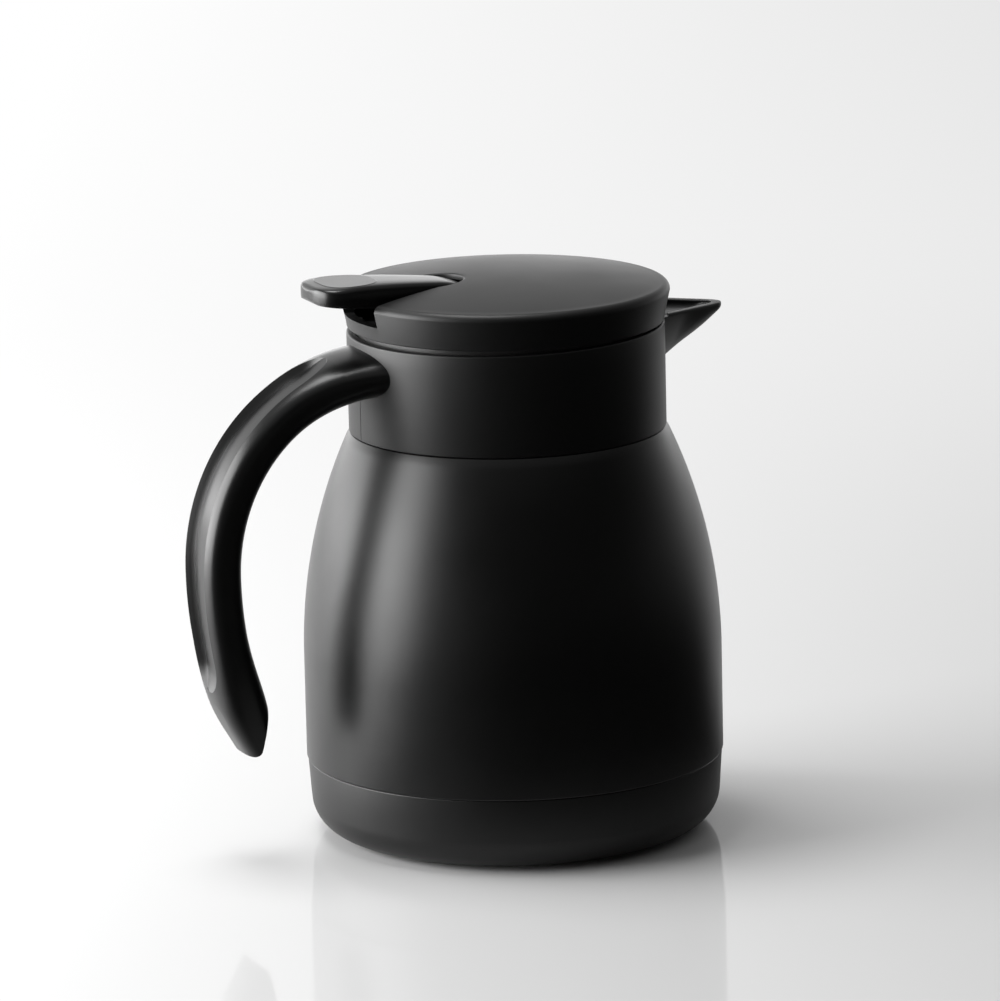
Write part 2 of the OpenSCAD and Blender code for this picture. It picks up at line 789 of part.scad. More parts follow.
// Half width of the lever at a distance from the axis
function lever_half(x) = let (
        c = nose_x + nose_r,
        slope = (thumb_half_w - nose_r) / (thumb_x - thumb_round - c),
        end = max(0, (x - thumb_x + thumb_round) / thumb_round))
    x < c ? sqrt(max(0.5, nose_r * nose_r - pow(c - x, 2)))
        : (nose_r + slope * (x - c)) * pow(max(0.004, 1 - pow(end, 2.4)), 0.45);

// Top and underside of the lever at a distance from the axis, both rounded off at the thumb end
function edge_drop(x) = let (q = max(0, (x - thumb_x + thumb_edge) / thumb_edge)) thumb_edge * (1 - sqrt(1 - q * q));
function lever_top(x) = crest_z - crest_bend * pow(abs(crest_x - x), 1.5) - edge_drop(x);
function lever_under(x) = under_z + under_rise * (x - nose_x) + edge_drop(x);

function lever_section(x) = let (
        h = lever_half(x),
        z0 = lever_under(x),
        t = lever_top(x) - z0,
        half = [[0, 1], [0.3, 0.997], [0.52, 0.982], [0.68, 0.955], [0.81, 0.9], [0.91, 0.81], [0.975, 0.67],
            [1, 0.45], [0.985, 0.17], [0.95, 0.05], [0.89, 0], [0, 0]],
        all = concat(half, [for (i = [len(half) - 2:-1:1]) [-half[i][0], half[i][1]]]))
    [for (q = all) [-x, q[0] * h, z0 + q[1] * t]];

module thumb_lever() {
    span = thumb_x - nose_x;
    color([0.04, 0.04, 0.04])
        difference() {
            union() {
                difference() {
                    skin([for (i = [0:lever_stations])
                        lever_section(nose_x + span * (0.5 - 0.5 * cos(180 * i / lever_stations)))]);
                    translate([-far, -far / 2, crest_z - facet_depth])
                        cube([2 * far, far, far]);
                }
                translate([-pin_x, 0, pin_z])
                    rod_y(hub_r, hub_half_w);
                translate([-pin_x - hub_web, -hub_half_w, pin_z])
                    cube([2 * hub_web, 2 * hub_half_w, lever_under(pin_x) - pin_z + 1.5]);
                for (side = [-1, 1])
                    translate([0, side * (fork_in + fork_t / 2), fork_z]) {
                        rod_y(fork_pad_r, fork_t / 2);
                        translate([-pin_x, -fork_t / 2, -fork_pad_r + fork_inset])
                            cube([pin_x, fork_t, 2 * (fork_pad_r - fork_inset)]);
                    }
            }
            translate([-pin_x, 0, pin_z]) {
                rod_y(pin_r + running_play, hub_half_w + 1);
                for (side = [-1, 1])
                    translate([0, side * (hub_half_w + pin_half + free_gap) / 2, 0])
                        rod_y(ear_r + 2 * free_gap, (pin_half + free_gap - hub_half_w) / 2);
            }
        }
}

module valve_stem() {
    color([0.7, 0.7, 0.7])
        disc(stem_r, head_z + 0.6, cap_z + cap_t);
}

module valve_head() {
    color([0.85, 0.85, 0.83])
        difference() {
            disc(head_r, head_z, head_z + head_h);
            disc(stem_r, head_z + 0.6, head_z + head_h + 1);
        }
}

module valve_seal() {
    color([0.8, 0.8, 0.78])
        disc(head_r - 0.3, seal_z, head_z);
}

module stem_cap() {
    color([0.85, 0.85, 0.83])
        ring(cap_r, stem_r, cap_z, cap_z + cap_t);
}

// Compression spring round the stem, one unbroken helix
module valve_spring() {
    steps = 14;
    rise = spring_z1 - spring_z0 - wire_d - 2 * push_gap;
    r = spring_d / 2;
    count = spring_turns * steps;
    color([0.7, 0.7, 0.7])
        skin([for (i = [0:count]) let (a = 360 * i / steps, z = spring_z0 + push_gap + wire_d / 2
                + rise * i / count)
            [for (s = [0:5]) let (b = 60 * s, q = r + wire_d / 2 * cos(b))
                [q * cos(a), q * sin(a), z - wire_d / 2 * sin(b)]]]);
}

outer_shell();
inner_liner();
shell_bottom();
vacuum_cap();
getter();
base_cap();
foot_ring();
clamp_ring();
mouth_gasket();
neck_collar();
handle();
handle_screws();
rim_gasket();
stopper_gasket();
stopper_body();
chamber_tube();
stopper_cup();
stopper_insulation();
lever_frame();
guide_bush();
frame_screws();
lid_cover();
lever_pin();
thumb_lever();
valve_stem();
valve_head();
valve_seal();
stem_cap();
valve_spring();
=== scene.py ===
import json
import math

import bmesh
import bpy
from mathutils import Matrix, Vector


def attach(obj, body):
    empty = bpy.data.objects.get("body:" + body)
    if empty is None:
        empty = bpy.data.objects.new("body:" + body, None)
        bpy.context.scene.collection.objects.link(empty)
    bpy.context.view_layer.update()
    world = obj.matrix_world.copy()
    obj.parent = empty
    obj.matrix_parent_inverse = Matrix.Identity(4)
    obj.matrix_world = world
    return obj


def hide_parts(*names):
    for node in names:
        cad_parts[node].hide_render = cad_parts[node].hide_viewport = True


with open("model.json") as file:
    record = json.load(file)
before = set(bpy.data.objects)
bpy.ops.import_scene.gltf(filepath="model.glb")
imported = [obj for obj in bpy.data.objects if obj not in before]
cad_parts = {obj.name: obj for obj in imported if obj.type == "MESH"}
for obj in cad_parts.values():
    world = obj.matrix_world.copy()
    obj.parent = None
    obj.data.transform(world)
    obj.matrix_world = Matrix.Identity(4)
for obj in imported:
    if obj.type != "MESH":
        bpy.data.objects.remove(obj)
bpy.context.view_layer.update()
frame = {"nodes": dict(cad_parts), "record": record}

MM = 0.001
TURN = 2 * math.pi
CRISP_ANGLE = 32
ROUND_STEPS = 320
ROD_STEPS = 48
FILLET_STEPS = 5
BODY_STEPS = 48

# Driving sizes that several pieces share, in millimetres
BODY_R = 60.1
LEDGE_R = 45.5
LEDGE_Z = 117.2
CURVE_Z = 52
BASE_H = 22.2
BASE_FLOOR = 0.6
BASE_BORE_R = 57.75
FOOT_R = 42
FOOT_W = 8
FOOT_SINK = 0.9
COLLAR_R = 45.4
RIM_Z = 147.3
LID_R = 45.3
LID_TOP_R = 47
LID_Z1 = 158.4
PIN_X = 26
PIN_Z = 153.5


def even(a, b, steps):
    """Evenly spaced values from a to b, both included."""
    return [a + (b - a) * i / steps for i in range(steps + 1)]


def quarter(steps):
    """Evenly spaced angles from zero to a quarter turn, in radians."""
    return even(0, math.pi / 2, steps)


def ease(a, b, x):
    """Smooth step from 0 at a to 1 at b."""
    t = min(1, max(0, (x - a) / (b - a)))
    return t * t * (3 - 2 * t)


def along(line, x):
    """Value at x of the straight line through two points."""
    (x0, y0), (x1, y1) = line
    return y0 + (y1 - y0) * (x - x0) / (x1 - x0)


def arc(cx, cz, radius, start, end, steps):
    """Points on a circle in the profile plane, angles in degrees."""
    return [(cx + radius * math.cos(math.radians(a)), cz + radius * math.sin(math.radians(a)))
            for a in even(start, end, steps)]


def body_curve(inside, end_r):
    """Points of the body's wall, a distance inside its outer face, from the straight wall up."""
    height, inward = LEDGE_Z - CURVE_Z, BODY_R - LEDGE_R
    outer = (height * height + inward * inward) / (2 * inward)
    centre, radius = BODY_R - outer, outer - inside
    last = math.acos((end_r - centre) / radius)
    return [(centre + radius * math.cos(a), CURVE_Z + radius * math.sin(a))
            for a in even(0, last, BODY_STEPS)]


def filleted(corners):
    """A closed outline from (a, b, fillet) corners, each rounded by its own radius."""
    out = []
    count = len(corners)
    for i, (x, y, radius) in enumerate(corners):
        here = Vector((x, y))
        if radius <= 0:
            out.append((here.x, here.y))
            continue
        before = (Vector(corners[i - 1][:2]) - here).normalized()
        after = (Vector(corners[(i + 1) % count][:2]) - here).normalized()
        half = before.angle(after) / 2
        reach = radius / math.tan(half)
        middle = here + (before + after).normalized() * (radius / math.sin(half))
        a, b = here + before * reach - middle, here + after * reach - middle
        sweep = a.angle_signed(b)
        for k in range(FILLET_STEPS + 1):
            turned = a.copy()
            turned.rotate(Matrix.Rotation(-sweep * k / FILLET_STEPS, 2))
            out.append((middle.x + turned.x, middle.y + turned.y))
    return out


def mirrored(half):
    """A closed outline from its right half, whose first and last points lie on the middle line."""
    return half + [(-a, b) for a, b in reversed(half[1:-1])]


def smooth_shade(mesh, angle=CRISP_ANGLE):
    """Shades a mesh smooth, with edges sharper than the angle kept crisp."""
    mesh.shade_smooth()
    mesh.set_sharp_from_angle(angle=math.radians(angle))


def mesh_object(bm, name):
    """Makes a shaded object of a bmesh."""
    mesh = bpy.data.meshes.new(name)
    bm.to_mesh(mesh)
    bm.free()
    smooth_shade(mesh)
    obj = bpy.data.objects.new(name, mesh)
    bpy.context.scene.collection.objects.link(obj)
    return obj


def finish_mesh(bm, name):
    """Merges double points, turns all faces outwards and makes an object of a bmesh."""
    bmesh.ops.remove_doubles(bm, verts=bm.verts, dist=1e-7)
    bmesh.ops.recalc_face_normals(bm, faces=bm.faces)
    return mesh_object(bm, name)


def revolve(name, outline, segments=ROUND_STEPS, closed=True, move=None):
    """Turns an outline of (r, z) points in mm round the Z axis; move may shift a point."""
    bm = bmesh.new()
    rings = []
    for k in range(segments):
        c, s = math.cos(TURN * k / segments), math.sin(TURN * k / segments)
        ring = []
        for r, z in outline:
            p = Vector((r * c, r * s, z))
            ring.append(bm.verts.new((move(p) if move else p) * MM))
        rings.append(ring)
    count = len(outline)
    for k in range(segments):
        a, b = rings[k], rings[(k + 1) % segments]
        for i in range(count if closed else count - 1):
            j = (i + 1) % count
            bm.faces.new((a[i], b[i], b[j], a[j]))
    bmesh.ops.dissolve_degenerate(bm, edges=bm.edges, dist=1e-8)
    return finish_mesh(bm, name)


def loft(name, rings):
    """A closed solid through rings of points in mm, each with the same count."""
    bm = bmesh.new()
    made = [[bm.verts.new(Vector(p) * MM) for p in ring] for ring in rings]
    count = len(rings[0])
    for a, b in zip(made, made[1:]):
        for i in range(count):
            j = (i + 1) % count
            bm.faces.new((a[i], a[j], b[j], b[i]))
    for ring in (made[0], made[-1]):
        middle = bm.verts.new(sum((v.co for v in ring), Vector()) / count)
        for i in range(count):
            bm.faces.new((ring[i], ring[(i + 1) % count], middle))
    return finish_mesh(bm, name)


def slab(name, low, high):
    """A box from its lowest to its highest corner in mm."""
    bm = bmesh.new()
    bmesh.ops.create_cube(bm, size=1)
    low, high = Vector(low), Vector(high)
    for v in bm.verts:
        v.co = Vector(((low[i] + high[i]) / 2 + v.co[i] * (high[i] - low[i])) for i in range(3)) * MM
    return finish_mesh(bm, name)


def prism(name, outline, half):
    """Extrudes an outline of (x, z) points in mm to both sides of the XZ plane."""
    bm = bmesh.new()
    sides = [[bm.verts.new(Vector((x, y, z)) * MM) for x, z in outline] for y in (-half, half)]
    count = len(outline)
    for i in range(count):
        j = (i + 1) % count
        bm.faces.new((sides[0][i], sides[0][j], sides[1][j], sides[1][i]))
    bm.faces.new(sides[0])
    bm.faces.new(list(reversed(sides[1])))
    return finish_mesh(bm, name)


def rod(name, radius, start, end):
    """A closed cylinder between two points in mm."""
    start, end = Vector(start), Vector(end)
    axis = (end - start).normalized()
    side = axis.orthogonal().normalized()
    up = axis.cross(side)
    angles = [TURN * i / ROD_STEPS for i in range(ROD_STEPS)]
    rings = [[p + (side * math.cos(a) + up * math.sin(a)) * radius for a in angles] for p in (start, end)]
    return loft(name, rings)


def cut(obj, tool, how="DIFFERENCE"):
    """Applies a boolean with another object, which is then removed."""
    mod = obj.modifiers.new(how.lower(), "BOOLEAN")
    mod.operation = how
    mod.solver = "EXACT"
    mod.object = tool
    bpy.context.view_layer.update()
    evaluated = obj.evaluated_get(bpy.context.evaluated_depsgraph_get())
    mesh = bpy.data.meshes.new_from_object(evaluated)
    obj.modifiers.clear()
    obj.data = mesh
    smooth_shade(mesh)
    bpy.data.objects.remove(tool)


def join(objects, name):
    """Joins meshes that share one material into one object."""
    bm = bmesh.new()
    for o in objects:
        bm.from_mesh(o.data)
        bpy.data.objects.remove(o)
    return mesh_object(bm, name)


# Flask
NECK_R = 41
MOUTH_R = 36.9
MOUTH_Z = 137.5
STEEL_T = 0.6
SHELL_Z0 = 11
SHELL_GAP = 0.1
SHELL_STEP = 0.8
SHELL_EDGE = 0.45
LEDGE_OVER = 0.15
LEDGE_IN = 0.6
LEDGE_EDGE = 0.55
NECK_EDGE = 0.5


def make_shell():
    """Outer wall of the flask, with the step that enters the base cap, the ledge and the neck."""
    step_r = BASE_BORE_R - SHELL_GAP
    inner_r = step_r - STEEL_T
    outline = (
        [(step_r, SHELL_Z0), (step_r, BASE_H - SHELL_STEP)]
        + arc(BODY_R - SHELL_EDGE, BASE_H + SHELL_EDGE, SHELL_EDGE, -90, 0, 6)
        + body_curve(0, LEDGE_R + LEDGE_OVER)[:-1]
        + arc(LEDGE_R - LEDGE_IN, LEDGE_Z - LEDGE_EDGE, LEDGE_EDGE, 25, 90, 6)
        + arc(NECK_R + NECK_EDGE, LEDGE_Z + NECK_EDGE, NECK_EDGE, -90, -180, 5)
        + arc(NECK_R - NECK_EDGE, MOUTH_Z - NECK_EDGE, NECK_EDGE, 0, 90, 5)
        + [(MOUTH_R + STEEL_T, MOUTH_Z), (MOUTH_R + STEEL_T, MOUTH_Z - STEEL_T),
           (NECK_R - STEEL_T, MOUTH_Z - STEEL_T), (NECK_R - STEEL_T, LEDGE_Z - STEEL_T)]
        + body_curve(STEEL_T, LEDGE_R - STEEL_T / 2)[::-1]
        + [(BODY_R - STEEL_T, BASE_H + STEEL_T), (inner_r, BASE_H + STEEL_T), (inner_r, SHELL_Z0)]
    )
    return revolve("outer_shell_coat", outline)


BASE_R = 59.75
BASE_T = 2
BASE_FILLET = 10
BASE_DRAFT = 4
BASE_EDGE = 0.4


def make_base():
    """Base cap: a drafted wall, a large rounding below it and a groove for the foot ring."""
    wall_h = BASE_H - BASE_FLOOR - BASE_FILLET
    fillet_r = BASE_R - wall_h * math.tan(math.radians(BASE_DRAFT)) - BASE_FILLET
    fillet_z = BASE_FLOOR + BASE_FILLET
    hollow_r = BASE_FILLET - BASE_T
    groove_in, groove_out = FOOT_R - FOOT_W / 2, FOOT_R + FOOT_W / 2
    groove_z = BASE_FLOOR + FOOT_SINK
    outline = (
        [(0, BASE_FLOOR), (groove_in, BASE_FLOOR), (groove_in, groove_z), (groove_out, groove_z),
         (groove_out, BASE_FLOOR)]
        + arc(fillet_r, fillet_z, BASE_FILLET, -90, -BASE_DRAFT, 20)
        + arc(BASE_R - BASE_EDGE, BASE_H - BASE_EDGE, BASE_EDGE, -BASE_DRAFT, 90, 6)
        + [(BASE_BORE_R, BASE_H)]
        + arc(BASE_BORE_R - hollow_r, fillet_z, hollow_r, 0, -90, 10)
        + [(0, BASE_FLOOR + BASE_T)]
    )
    return revolve("base_cap_shell", outline)


FOOT_GAP = 0.1
FOOT_EDGE = 0.35
FOOT_STEPS = 200


def make_foot():
    """Rubber ring in the base cap's groove."""
    half = FOOT_W / 2 - FOOT_GAP
    top = BASE_FLOOR + FOOT_SINK
    outline = filleted([(FOOT_R - half, 0, FOOT_EDGE), (FOOT_R + half, 0, FOOT_EDGE), (FOOT_R + half, top, 0),
                        (FOOT_R - half, top, 0)])
    return revolve("foot_ring_rubber", outline, FOOT_STEPS)


# Collar
COLLAR_BORE_R = 43.2
COLLAR_Z0 = 117.3
COLLAR_EDGE = (0.2, 0.35)
RIM_DROP = 1.2
RIM_EDGE = 0.55
LEVEL_Z = 141
TILTED_BELOW_RIM = 2
LIP_Z = (138.7, 140.2)
LIP_R = 37.9
LIP_EDGE = 0.4


def tilted(p):
    """Lowers the collar's upper part, by nothing at the beak and by the rim's drop at the handle."""
    share = ease(LEVEL_Z, RIM_Z - TILTED_BELOW_RIM, p.z)
    return Vector((p.x, p.y, p.z + share * (RIM_DROP / (2 * COLLAR_R) * p.x - RIM_DROP / 2)))


def collar_ring():
    """The collar's wall with its tilted rim and the lip inside it."""
    outline = filleted([
        (COLLAR_BORE_R, COLLAR_Z0, COLLAR_EDGE[0]), (COLLAR_R, COLLAR_Z0, COLLAR_EDGE[1]),
        (COLLAR_R, LEVEL_Z, 0), (COLLAR_R, RIM_Z, RIM_EDGE), (COLLAR_BORE_R, RIM_Z, RIM_EDGE),
        (COLLAR_BORE_R, LEVEL_Z, 0), (COLLAR_BORE_R, LIP_Z[1], 0), (LIP_R, LIP_Z[1], LIP_EDGE),
        (LIP_R, LIP_Z[0], LIP_EDGE), (COLLAR_BORE_R, LIP_Z[0], 0)])
    return revolve("neck_collar_ring", outline, move=tilted)


# Beak: its plan, keel and trough, and the power of its V-shaped section, which grows towards the tip
BEAK_ROOT_X = 40
BEAK_REACH = 66.8
BEAK_TIP_R = 4.4
BEAK_TIP_X = BEAK_REACH - BEAK_TIP_R
BEAK_Z = RIM_Z + 0.7
BEAK_FALL = 0.8
BEAK_SIDE = ((41.1, 16.87), (64.54, 3.85))
BEAK_KEEL = ((45.4, 130.2), (66, 145))
BEAK_POWER = 1.14
BEAK_POWER_GAIN = 0.9
BEAK_GAIN_X = 50
BEAK_LIFT = 0.7
BEAK_LIFT_L = 1.2
BEAK_ROUND = 0.6
BEAK_ROUND_SHARE = (0.45, 0.3)
TROUGH_ROOT_X = 37
TROUGH_SIDE = ((37.9, 16.5), (62.82, 1.72))
TROUGH_FLOOR = ((37.6, 140.2), (58.8, 144))
TROUGH_TIP = (61.8, 2, 146.6)
TROUGH_POWER = 2
TROUGH_LEAST = 0.3
TOOL_RISE = 6
CORE_Z0 = 110
CORE_INTO_WALL = 0.5
LID_CLEARANCE = 1.3
SEAM_W = 0.3
SEAM_DEPTH = 0.15
SEAM_TURN = 1.6
SEAM_Z1 = 134


def plan_half(line, centre, radius, x):
    """Half width of a plan with straight sides and a round end."""
    if x <= line[1][0]:
        return along(line, x)
    return math.sqrt(max(0.0009, radius ** 2 - (x - centre) ** 2))


def beak_top(x):
    """Height of the beak's rim, which falls a little towards the tip."""
    return BEAK_Z - BEAK_FALL * (x - COLLAR_R) / (BEAK_REACH - COLLAR_R)


def v_curve(half, depth, power, steps):
    """Half of a V-shaped hollow or keel, from its upper edge to its lowest point."""
    return [(half * math.cos(a) ** (2 / power), -depth * math.sin(a) ** (2 / power))
            for a in quarter(steps)[1:]]


def stations(root_x, tip_x, tip_r, straight_steps, round_steps):
    """Places along the beak: even to the centre of its round end, then closer and closer round it."""
    round_end = [tip_x + tip_r * math.sin(a) for a in quarter(round_steps)[1:]]
    return even(root_x, tip_x, straight_steps) + round_end


def beak_ring(x):
    """Section of the beak at x, flat above, with rounded edges and a V below."""
    top, half = beak_top(x), plan_half(BEAK_SIDE, BEAK_TIP_X, BEAK_TIP_R, x)
    power = BEAK_POWER + BEAK_POWER_GAIN * ease(BEAK_GAIN_X, BEAK_TIP_X, x)
    end = max(0, (x - BEAK_REACH + BEAK_LIFT_L) / BEAK_LIFT_L)
    depth = top - along(BEAK_KEEL, x) - BEAK_LIFT * end ** 2
    edge = min(BEAK_ROUND, half * BEAK_ROUND_SHARE[0], depth * BEAK_ROUND_SHARE[1])
    rim = [(half - edge + edge * math.sin(b), -edge + edge * math.cos(b)) for b in quarter(6)]
    side = [(a, -edge + b) for a, b in v_curve(half, depth - edge, power, 20)]
    return [(x, a, top + b) for a, b in mirrored([(0, 0)] + rim + side)]


def trough_ring(x):
    """Section at x of the tool that hollows the beak; it flares at the top so that the rim is round."""
    tip_x, tip_r, tip_z = TROUGH_TIP
    bend_x, bend_z = TROUGH_FLOOR[1]
    top, half, edge = beak_top(x), plan_half(TROUGH_SIDE, tip_x, tip_r, x), BEAK_ROUND
    floor = along(TROUGH_FLOOR, x) + (tip_z - bend_z) * ease(bend_x, tip_x + tip_r, x)
    depth = max(TROUGH_LEAST, top - edge - floor)
    flare = [(half + edge - edge * math.cos(b), -edge + edge * math.sin(b)) for b in reversed(quarter(6))]
    side = [(a, -edge + b) for a, b in v_curve(half, depth, TROUGH_POWER, 16)]
    return [(x, a, top + b) for a, b in mirrored([(0, TOOL_RISE), (half + edge, TOOL_RISE)] + flare + side)]


def seam_tool():
    """Tool for the mould line on the collar's handle side."""
    low, high = (-COLLAR_R - 1, -SEAM_W / 2, COLLAR_Z0 - 1), (-COLLAR_R + SEAM_DEPTH, SEAM_W / 2, SEAM_Z1)
    tool = slab("seam_tool", low, high)
    tool.data.transform(Matrix.Rotation(math.radians(SEAM_TURN), 4, "Z"))
    return tool


def make_collar():
    """Neck collar with the beak moulded on, its trough cut in and the mould line below the handle."""
    beak = loft("beak", [beak_ring(x) for x in stations(BEAK_ROOT_X, BEAK_TIP_X, BEAK_TIP_R, 30, 24)])
    inner_r, lid_r = COLLAR_BORE_R + CORE_INTO_WALL, LID_R + LID_CLEARANCE
    core = [(0, CORE_Z0), (inner_r, CORE_Z0), (inner_r, RIM_Z), (lid_r, RIM_Z), (lid_r, RIM_Z + TOOL_RISE),
            (0, RIM_Z + TOOL_RISE)]
    cut(beak, revolve("core_tool", core, closed=False))
    obj = collar_ring()
    cut(obj, beak, "UNION")
    tip_x, tip_r, _ = TROUGH_TIP
    cut(obj, loft("trough_tool", [trough_ring(x) for x in stations(TROUGH_ROOT_X, tip_x, tip_r, 24, 10)]))
    cut(obj, seam_tool())
    return obj


# Handle: the middle line in two curves, then how width and thickness change along it, places counted from
# 0 at the collar to 2 past the lower end
HANDLE_A = [(-40.5, 137.5), (-69.8, 136.8), (-90.6, 112.8), (-90.6, 83.5)]
HANDLE_B = [(-90.6, 83.5), (-90.6, 60.7), (-84.4, 41.3), (-73.2, 20.3)]
HANDLE_W = 23.8
HANDLE_ROOT_W = 35.8
HANDLE_T = 12.6
HANDLE_CRISP = 24
ROOT_SPAN = (-0.1, 0.42)
ROOT_FLARE = 1.2
ROOT_SWELL = 1.3
END_NARROW = (6, 1.3, 2)
END_SWELL = (1.2, 1.25, 1.55)
END_THIN = (4.4, 1.55, 1.88)
SQUARENESS = 2.8
ROOT_SOFTENING = 0.7
HOLLOW_HALF = 7.8
HOLLOW_DEPTH = 2.6
HOLLOW_ENDS = (0.15, 1.5)
HOLLOW_ROUND = 0.13
HOLLOW_FLOOR = 0.73
END_CORNER = (-77.6, 46.8)
END_LEAN = 12.5
END_TOOL = 60
TIP_R = 2.5
TIP_L = 14.4
TIP_SLANT = 37.5
CORE_SPAN = (100, 165)


def bezier(p, t):
    """Point and unit direction on a cubic curve."""
    a, b, c, d = (Vector(q) for q in p)
    s = 1 - t
    point = a * s ** 3 + b * 3 * t * s * s + c * 3 * t * t * s + d * t ** 3
    way = (b - a) * 3 * s * s + (c - b) * 6 * t * s + (d - c) * 3 * t * t
    return point, way.normalized()


def oblong(f, power):
    """Height of a rounded oblong's quarter at the share f of its half width."""
    return max(0, 1 - f ** power) ** (1 / power)


def gain(change, k):
    """A change of size, given as (amount, from, to), that comes in smoothly between two places."""
    amount, start, end = change
    return amount * ease(start, end, k)


def handle_section(w, t, power, c, g):
    """Rounded oblong with a hollow of half width c and depth g in its outer face."""
    h = w / 2
    hollow = []
    for q in even(0, 1, 14):
        sunk = g * min(1, (1 - q) / (1 - HOLLOW_FLOOR))
        hollow.append((q * c, t / 2 * oblong(q * c / h, power) - sunk))
    outer = [math.sin(a) for a in even(math.asin(min(1, c / h)), math.pi / 2, 12)[1:]]
    inner = [math.sin(a) for a in reversed(quarter(18)[:-1])]
    half = hollow + [(f * h, t / 2 * oblong(f, power)) for f in outer]
    half += [(f * h, -t / 2 * oblong(f, power)) for f in inner]
    return mirrored(half)


def handle_ring(k):
    """Ring of the handle at a place k."""
    path, t = (HANDLE_A, k) if k < 1 else (HANDLE_B, k - 1)
    p, d = bezier(path, t)
    n = Vector((d.y, -d.x))
    root = 1 - ease(*ROOT_SPAN, k)
    w = HANDLE_W + (HANDLE_ROOT_W - HANDLE_W) * root ** ROOT_FLARE - gain(END_NARROW, k)
    thick = HANDLE_T + ROOT_SWELL * root + gain(END_SWELL, k) - gain(END_THIN, k)
    start, end = HOLLOW_ENDS
    edge = max(0, start + HOLLOW_ROUND - k, k - end + HOLLOW_ROUND) / HOLLOW_ROUND
    c = HOLLOW_HALF * math.sqrt(max(0.003, 1 - edge * edge))
    g = HOLLOW_DEPTH * math.cos(math.pi / 2 * edge ** 1.5) if edge < 1 else 0
    section = handle_section(w, thick, SQUARENESS - ROOT_SOFTENING * root, c, g)
    return [(p.x + n.x * v, u, p.y + n.y * v) for u, v in section]


def end_outline():
    """Side view of what is cut off below the handle: a leaning face, a round tip and a slanted side."""
    lean, slant = math.radians(END_LEAN), math.radians(TIP_SLANT)
    side_x, side_z = -TIP_R - TIP_R * math.cos(slant), -TIP_L - TIP_R * math.sin(slant)
    local = [(0, 0), (END_TOOL, 0), (END_TOOL, -END_TOOL), (-1.5 * END_TOOL, -END_TOOL),
             (side_x - END_TOOL * math.sin(slant), side_z + END_TOOL * math.cos(slant))]
    local += [(-TIP_R + TIP_R * math.cos(a), -TIP_L + TIP_R * math.sin(a))
              for a in even(math.pi + slant, TURN, 16)]
    return [(END_CORNER[0] + a * math.cos(lean) + b * math.sin(lean),
             END_CORNER[1] - a * math.sin(lean) + b * math.cos(lean)) for a, b in local]


def make_handle():
    """C-shaped grip, fitted to the collar at its root and cut to its leaning end below."""
    start, end = HOLLOW_ENDS
    round_end = [HOLLOW_ROUND * (1 - math.cos(a)) for a in quarter(10)[:-1]]
    places = even(0, start, 6)[:-1]
    places += [start + q for q in round_end]
    places += even(start + HOLLOW_ROUND, end - HOLLOW_ROUND, 90)
    places += [end - q for q in reversed(round_end)]
    places += even(end, 2, 20)[1:]
    obj = loft("handle_grip", [handle_ring(k) for k in places])
    low, high = CORE_SPAN
    cut(obj, revolve("core_tool", [(0, low), (COLLAR_R, low), (COLLAR_R, high), (0, high)], closed=False))
    cut(obj, prism("end_tool", end_outline(), 30))
    smooth_shade(obj.data, HANDLE_CRISP)
    return obj


# Lid
LID_Z0 = 147.8
LID_T = 2
LID_DOME = 4
LID_EDGE_R = 2.2
LID_FOOT_EDGE = 0.35
LID_FLARE = (0.12, 1.5)
LID_CROWN_R = LID_TOP_R - LID_EDGE_R
LID_THINNER = 0.4
LID_STEP = 1
NOTCH_Z = 151.9


def dome(r):
    """Height of the lid's crown above its edge, a distance r from the axis."""
    return LID_DOME * (1 - (r / LID_CROWN_R) ** 2)


def make_lid():
    """Lid cover: a side that leans out, a domed top and the lever's slot and notch."""
    inner_r = LID_CROWN_R - LID_T
    top = [(r, LID_Z1 + dome(r)) for r in reversed(even(0, LID_CROWN_R, 24))]
    under = [(inner_r * f, LID_Z1 - LID_T + LID_THINNER + LID_DOME * (1 - f ** 2)) for f in even(0, 1, 12)]
    outline = (
        arc(LID_R - LID_FOOT_EDGE, LID_Z0 + LID_FOOT_EDGE, LID_FOOT_EDGE, -90, 0, 4)
        + [(LID_R + LID_FLARE[0], LID_Z0 + LID_FLARE[1])]
        + arc(LID_CROWN_R, LID_Z1 - LID_EDGE_R, LID_EDGE_R, 0, 86, 14)
        + top
        + under
        + [(LID_R - LID_T, LID_Z0 + LID_STEP), (LID_R - LID_T, LID_Z0)]
    )
    obj = revolve("lid_cover_disc", outline)
    cut(obj, slot_tool())
    return obj


# Slot of the lid; its edge is rounded by a flare of the tool, in steps of (wider, above the crown)
NOSE_X = 14.6
NOSE_R = 7.2
NOSE_CENTRE = NOSE_X + NOSE_R
SLOT_R = 8.4
SLOT_HALF_W = 13.56
SLOT_SHIFT = 0.2
SLOT_PAST_RIM = 6
SLOT_FLARE = [(0, -0.7), (0.05, -0.42), (0.16, -0.2), (0.36, -0.06), (0.7, 0.02), (1.6, 0.3)]
SLOT_TOOL_H = 12


def slot_outline(grow):
    """Plan of the slot: a round end towards the axis and sides that open to the rim."""
    centre = SLOT_SHIFT - NOSE_CENTRE
    slope = math.atan((SLOT_HALF_W - SLOT_R) / (LID_R + centre))
    r, end = SLOT_R + grow, math.pi / 2 + slope
    round_end = [(centre + r * math.cos(a), r * math.sin(a)) for a in even(end, -end, 40)]
    out_r = LID_TOP_R + SLOT_PAST_RIM
    far_half = SLOT_HALF_W + grow + (out_r - LID_R) * math.tan(slope)
    return [(-out_r, far_half)] + round_end + [(-out_r, -far_half)]


